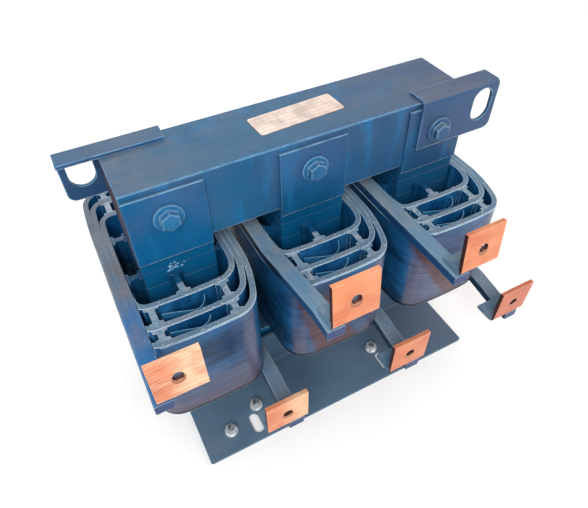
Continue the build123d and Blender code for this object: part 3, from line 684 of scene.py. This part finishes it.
def turnWrap(name, coil, low, high):
    look = wrapLook
    here = startMaterial(name, windingLook["edgeRadius"])
    tree, point = here.tree, here.point
    pitch = (high[2] - low[2]) / skinLook["turns"]

    level = add(tree, "Math", {0: here.z, 1: low[2]}, operation="SUBTRACT")
    turn = add(tree, "Math", {0: level, 1: pitch}, operation="DIVIDE")
    sway = patches(tree, point, look["swayPatch"], look["sway"], detail=1.0)
    swayed = add(tree, "Math", {0: turn, 1: sway}, operation="ADD")
    fromJoint = add(tree, "Math", {0: swayed, 1: 0.5}, operation="PINGPONG")
    joint = overlap(tree, zone(tree, (fromJoint, 0.1, 0.0)), patches(tree, point, look["jointPatch"], 1, 0.1),
                    patches(tree, point, look["fadePatch"], 0.6, 0.3))

    # the painted sheen stands on the corners in upright bands and lies in patches on the front
    turned = [add(tree, "VectorMath", {0: here.face, 1: look[side]}, "Value", operation="DOT_PRODUCT")
              for side in ("left", "right")]
    upright = patches(tree, point, look["sheenPatch"], look["sheenShare"], 0.5, stretch=(1, 1, 7))
    leftTop, frontTop = look["leftTop"][coil], look["frontTop"][coil]
    onLeft = zone(tree, (turned[0], 0.93, 0.99), (level, leftTop, leftTop - look["leftFade"]))
    onRight = zone(tree, (turned[1], 0.945, 0.985))
    onFront = zone(tree, (here.faceY, -0.5, -0.9), (level, frontTop, frontTop - look["frontFade"]))
    frontSheen = look["frontSheen"][coil]
    dustAndSheenPatches = patches(tree, point, look["frontPatch"], frontSheen, 0.5 * frontSheen, stretch=(2.5, 2.5, 1))
    streaks = patches(tree, point, look["streakPatch"], 0.97, 0.5, stretch=(6, 6, 0.7), detail=5.0)
    atFoot = zone(tree, (level, look["lowFrom"], look["lowTo"]), (here.faceY, -0.4, -0.8))
    tone = coats(
        tree, look["deep"], (patches(tree, point, look["bluePatch"], stretch=(1.5, 1.5, 0.8)), look["blue"]),
        (overlap(tree, onLeft, upright), look["sheen"]), (overlap(tree, onRight, upright), look["sheen"]),
        (overlap(tree, onFront, dustAndSheenPatches), look["sheen"]),
        (overlap(tree, atFoot, streaks, look["lowShare"][coil]), look["low"]),
    )
    if coil in look["brownBands"]:  # the brown band's left edge slants down to the right, under the lead
        slant, start, end = look["brownBands"][coil]
        across = add(tree, "Math", {0: level, 1: slant, 2: here.x}, operation="MULTIPLY_ADD")
        brownBand = zone(tree, (across, low[0] + start, low[0] + start + look["brownBandLeft"]),
                     (across, low[0] + end, low[0] + end - look["brownBandRight"]),
                     (level, look["brownBandFrom"], look["brownBandTo"]), (here.faceY, -0.2, -0.5))
        tone = coats(tree, tone, (overlap(tree, brownBand, streaks), look["brownBand"]))
    topLine = overlap(tree, zone(tree, (here.z, high[2] - look["topFrom"], high[2] - look["topTo"])),
                      patches(tree, point, look["topPatch"], 0.9, 0.4))
    # painted highlight along the top of the wall, and a near-black painted shadow along its foot
    tone = coats(
        tree, tone, (joint, look["line"]),
        (zone(tree, (level, look["lineFrom"], look["lineTo"])), look["line"]),
        (topLine, windingLook["rimHighlight"]), (here.up, rimTone(tree, here)),
        (rearLeft(tree, here), windingLook["rimRear"]),
    )
    return finishMaterial(
        here, patches(tree, point, look["reliefPatch"], stretch=(1.6, 1.6, 0.7), detail=5.0), look["relief"],
        Base_Color=tone, IOR=1.52, Roughness=patches(tree, point, look["roughPatch"], 0.44, 0.26),
        Specular_IOR_Level=0.45, Specular_Tint="#B4BEDC",
    )


# Film slips: thin strips of insulating film that start at a stick's waist and curl across the duct
filmLook = {
    "thickness": 0.8 * mm, "steps": 40, "drop": 3.5 * mm, "foot": 70 * mm, "layer": 6.2 * mm,
    "wander": 1.5 * mm, "waveAngle": 5,  # radians
}
filmRoutes = {  # mm along the duct from the coil's middle, and the share of the way from inner to outer wall
    "inner": [(-34, 0.42), (-22, 0.56), (-8, 0.74), (2, 0.76), (9, 0.52), (13, 0.14)],
    "outer": [(-34, 0.40), (-24, 0.54), (-10, 0.74), (-2, 0.74), (5, 0.48), (9, 0.14)],
}
ductWallNames = {"inner": ("inner", "middle"), "outer": ("middle", "outer")}


def smoothLine(points, steps):
    # Catmull-Rom curve: it passes through each point, heading the way from the point before to the one after.
    # The last step stops a hair short, so that it still lies on a stretch between two points.
    padded = np.vstack([2 * points[0] - points[1], points, 2 * points[-1] - points[-2]])
    hair = 1e-9
    t = np.linspace(0, len(points) - 1 - hair, steps)
    i = t.astype(int)
    f = (t - i)[:, None]
    a, b, c, d = (padded[i + k] for k in range(4))
    square = (2 * a - 5 * b + 4 * c - d) * f ** 2
    cube = (3 * b - a - 3 * c + d) * f ** 3
    return 0.5 * (2 * b + (c - a) * f + square + cube)


def filmSlip(coil, duct, material):
    # The route is given a thickness across itself, and the strip hangs from a top edge that waves a little
    look = filmLook
    innerLayer, outerLayer = ductWallNames[duct]
    low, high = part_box(f"winding_{coil}_{outerLayer}")
    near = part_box(f"winding_{coil}_{innerLayer}")[0][1]
    far = low[1] + look["layer"]
    route = np.array(filmRoutes[duct], dtype=float)
    route = np.column_stack([(low[0] + high[0]) / 2 + route[:, 0] * mm, near + (far - near) * route[:, 1]])
    line = smoothLine(route, look["steps"])
    along = np.gradient(line, axis=0)
    along /= np.linalg.norm(along, axis=1)[:, None]
    side = np.column_stack([-along[:, 1], along[:, 0]]) * look["thickness"] / 2
    wave = np.sin(np.linspace(0, look["waveAngle"], look["steps"]) + int(coil))
    top = high[2] - look["drop"] + look["wander"] * wave
    bottom = np.full_like(top, high[2] - look["foot"])
    points = np.stack([np.column_stack([line + side, top]), np.column_stack([line - side, top]),
                       np.column_stack([line - side, bottom]), np.column_stack([line + side, bottom])], 1)
    last = 4 * (look["steps"] - 1)
    caps = np.array([[3, 2, 1, 0], [last, last + 1, last + 2, last + 3]])
    faces = np.vstack([gridFaces(*points.shape[:2], False, True).reshape(-1, 4), caps])
    meshPiece(f"film_{coil}_{duct}", points, faces, material, smooth=False)


# Varnish drops: beads that the dip left on the rims and, over winding 1's front stick, on the limb's face
dropLook = {
    "rings": 5, "sides": 8, "flat": 0.45, "longest": 1.4, "shortest": 0.7, "seed": 7,
    "onRims": 110, "small": 0.5 * mm, "large": 1.9 * mm, "spots": 400, "rimWidth": 6.2 * mm,
    "inset": 0.6 * mm, "rimFront": -62 * mm, "besideLead": 3 * mm,
    "onLimb": {"1": 16}, "limbSmall": 1.0 * mm, "limbLarge": 2.6 * mm, "limbFace": -43.5 * mm,
    "limbStick": -2 * mm, "limbSpread": 6 * mm, "limbLowest": 1 * mm, "limbHighest": 13 * mm,
}


def beads(centres, size, out, draw):
    # Each bead is a low dome: a half circle turned round its axis, squashed along the way out of the surface
    look = dropLook
    rise = np.linspace(-math.pi / 2, math.pi / 2, look["rings"])
    turn = np.linspace(0, 2 * math.pi, look["sides"], endpoint=False)
    ball = np.stack([np.cos(rise)[:, None] * np.cos(turn), np.cos(rise)[:, None] * np.sin(turn),
                     np.repeat(np.sin(rise)[:, None] * look["flat"], look["sides"], 1)], -1)
    if out == "y":
        ball = ball[..., [0, 2, 1]]
    long = np.ones((len(centres), 1, 1, 3))
    long[..., 0] = draw.uniform(look["shortest"], look["longest"], (len(centres), 1, 1))
    points = centres[:, None, None] + ball[None] * long * size[:, None, None, None]
    faces = gridFaces(look["rings"], look["sides"], False, True).reshape(-1, 4)
    return points, faces[None] + np.arange(len(centres))[:, None, None] * look["rings"] * look["sides"]


def varnishDrops(coil, rimMaterial, limbMaterial):
    look = dropLook
    draw = np.random.default_rng(look["seed"] + int(coil))
    low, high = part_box(f"winding_{coil}_outer")
    spots = []
    for name in ("inner", "middle", "outer"):
        line, normal, _ = outline(f"winding_{coil}_{name}", look["spots"])
        inwards = draw.uniform(look["inset"], look["rimWidth"] - look["inset"], (look["spots"], 1))
        spots.append(line - normal * inwards)
    spots = np.vstack(spots)
    besideLead = low[0] + leadLook["width"] + look["besideLead"]
    spots = spots[(spots[:, 1] < look["rimFront"]) & (spots[:, 0] > besideLead)]
    spots = spots[draw.integers(0, len(spots), look["onRims"])]
    size = draw.uniform(0, 1, look["onRims"]) ** 3 * (look["large"] - look["small"]) + look["small"]
    points, faces = beads(np.column_stack([spots, np.full(len(spots), high[2])]), size, "z", draw)
    meshPiece(f"varnish_drops_{coil}", points, faces, rimMaterial)

    count = look["onLimb"].get(coil, 0)
    if count:
        middle = (low[0] + high[0]) / 2 + look["limbStick"]
        across = middle + draw.normal(0, look["limbSpread"], count)
        height = high[2] + draw.uniform(look["limbLowest"], look["limbHighest"], count)
        place = np.column_stack([across, np.full(count, look["limbFace"]), height])
        points, faces = beads(place, draw.uniform(look["limbSmall"], look["limbLarge"], count), "y", draw)
        meshPiece(f"limb_drops_{coil}", points, faces, limbMaterial)


for coil in coilNames:
    turnSkin(coil, turnWrap(f"wrapped_turns_{coil}", coil, *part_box(f"winding_{coil}_outer")))
    for duct in filmRoutes:
        filmSlip(coil, duct, filmMaterial)
    varnishDrops(coil, stickLaminate, beadVarnish)
print("turns, film and drops made")


# Floor, light and camera
stageLook = {
    "floor": 6.0, "floorTone": "#F4F4F3", "floorShade": "#F0F0EF", "floorPatch": (0.4, 0.3, 0.7),
    "skyTone": "#FFFFFF", "sky": 0.75, "aim": (0, 0, 0.18),
    "lamps": {  # place in metres, size in metres, power in watts, colour
        "key": ((-0.9, -1.5, 1.9), 1.1, 42, "#FFFFFF"),
        "fill": ((1.6, -1.1, 1.3), 1.6, 16, "#FFE9E2"),
        "rear": ((0.3, 1.8, 1.6), 1.4, 14, "#FFFFFF"),
    },
}


def setStage():
    look = stageLook
    reach = look["floor"]
    mesh = bpy.data.meshes.new("floor")
    corners = [(-reach, -reach, 0), (reach, -reach, 0), (reach, reach, 0), (-reach, reach, 0)]
    mesh.from_pydata(corners, [], [(0, 1, 2, 3)])
    floor = bpy.data.objects.new("floor", mesh)
    bpy.context.scene.collection.objects.link(floor)
    here = startMaterial("pale_floor", 1.0 * mm)
    clouds = patches(here.tree, here.point, look["floorPatch"], detail=2.0)
    tone = coats(here.tree, look["floorTone"], (clouds, look["floorShade"]))
    mesh.materials.append(finishMaterial(here, clouds, 0.1 * mm, Base_Color=tone, Roughness=0.85))

    world = bpy.data.worlds.new("studio")
    world.use_nodes = True
    sky = world.node_tree.nodes["Background"].inputs
    sky[0].default_value = colour(look["skyTone"])
    sky[1].default_value = look["sky"]
    bpy.context.scene.world = world

    for name, (spot, width, power, tint) in look["lamps"].items():
        data = bpy.data.lights.new(name, "AREA")
        data.size, data.energy, data.color = width, power, colour(tint)[:3]
        lamp = bpy.data.objects.new(name, data)
        bpy.context.scene.collection.objects.link(lamp)
        lamp.location = spot
        lamp.rotation_euler = (Vector(look["aim"]) - Vector(spot)).to_track_quat("-Z", "Y").to_euler()


cameraLook = {
    "place": (-219.6, -425.3, 656.1),  # mm
    "right": (0.88507, -0.46532, -0.01098), "down": (-0.34469, -0.63941, -0.68727),
    "ahead": (0.31278, 0.61207, -0.72631),
    "focalPixels": 513.9, "imageWidth": 588, "sensor": 36.0, "nearest": 0.02,
}


def setCamera():
    look = cameraLook
    data = bpy.data.cameras.new("camera")
    data.sensor_width = look["sensor"]
    data.lens = look["focalPixels"] / look["imageWidth"] * look["sensor"]
    data.clip_start = look["nearest"]
    camera = bpy.data.objects.new("camera", data)
    bpy.context.scene.collection.objects.link(camera)
    axes = [Vector(look["right"]), -Vector(look["down"]), -Vector(look["ahead"])]
    camera.matrix_world = Matrix.Translation(Vector(look["place"]) * mm) @ Matrix(axes).transposed().to_4x4()
    bpy.context.scene.camera = camera


setStage()
setCamera()
bpy.context.scene.view_settings.view_transform = "Standard"
print("stage, light and camera set")
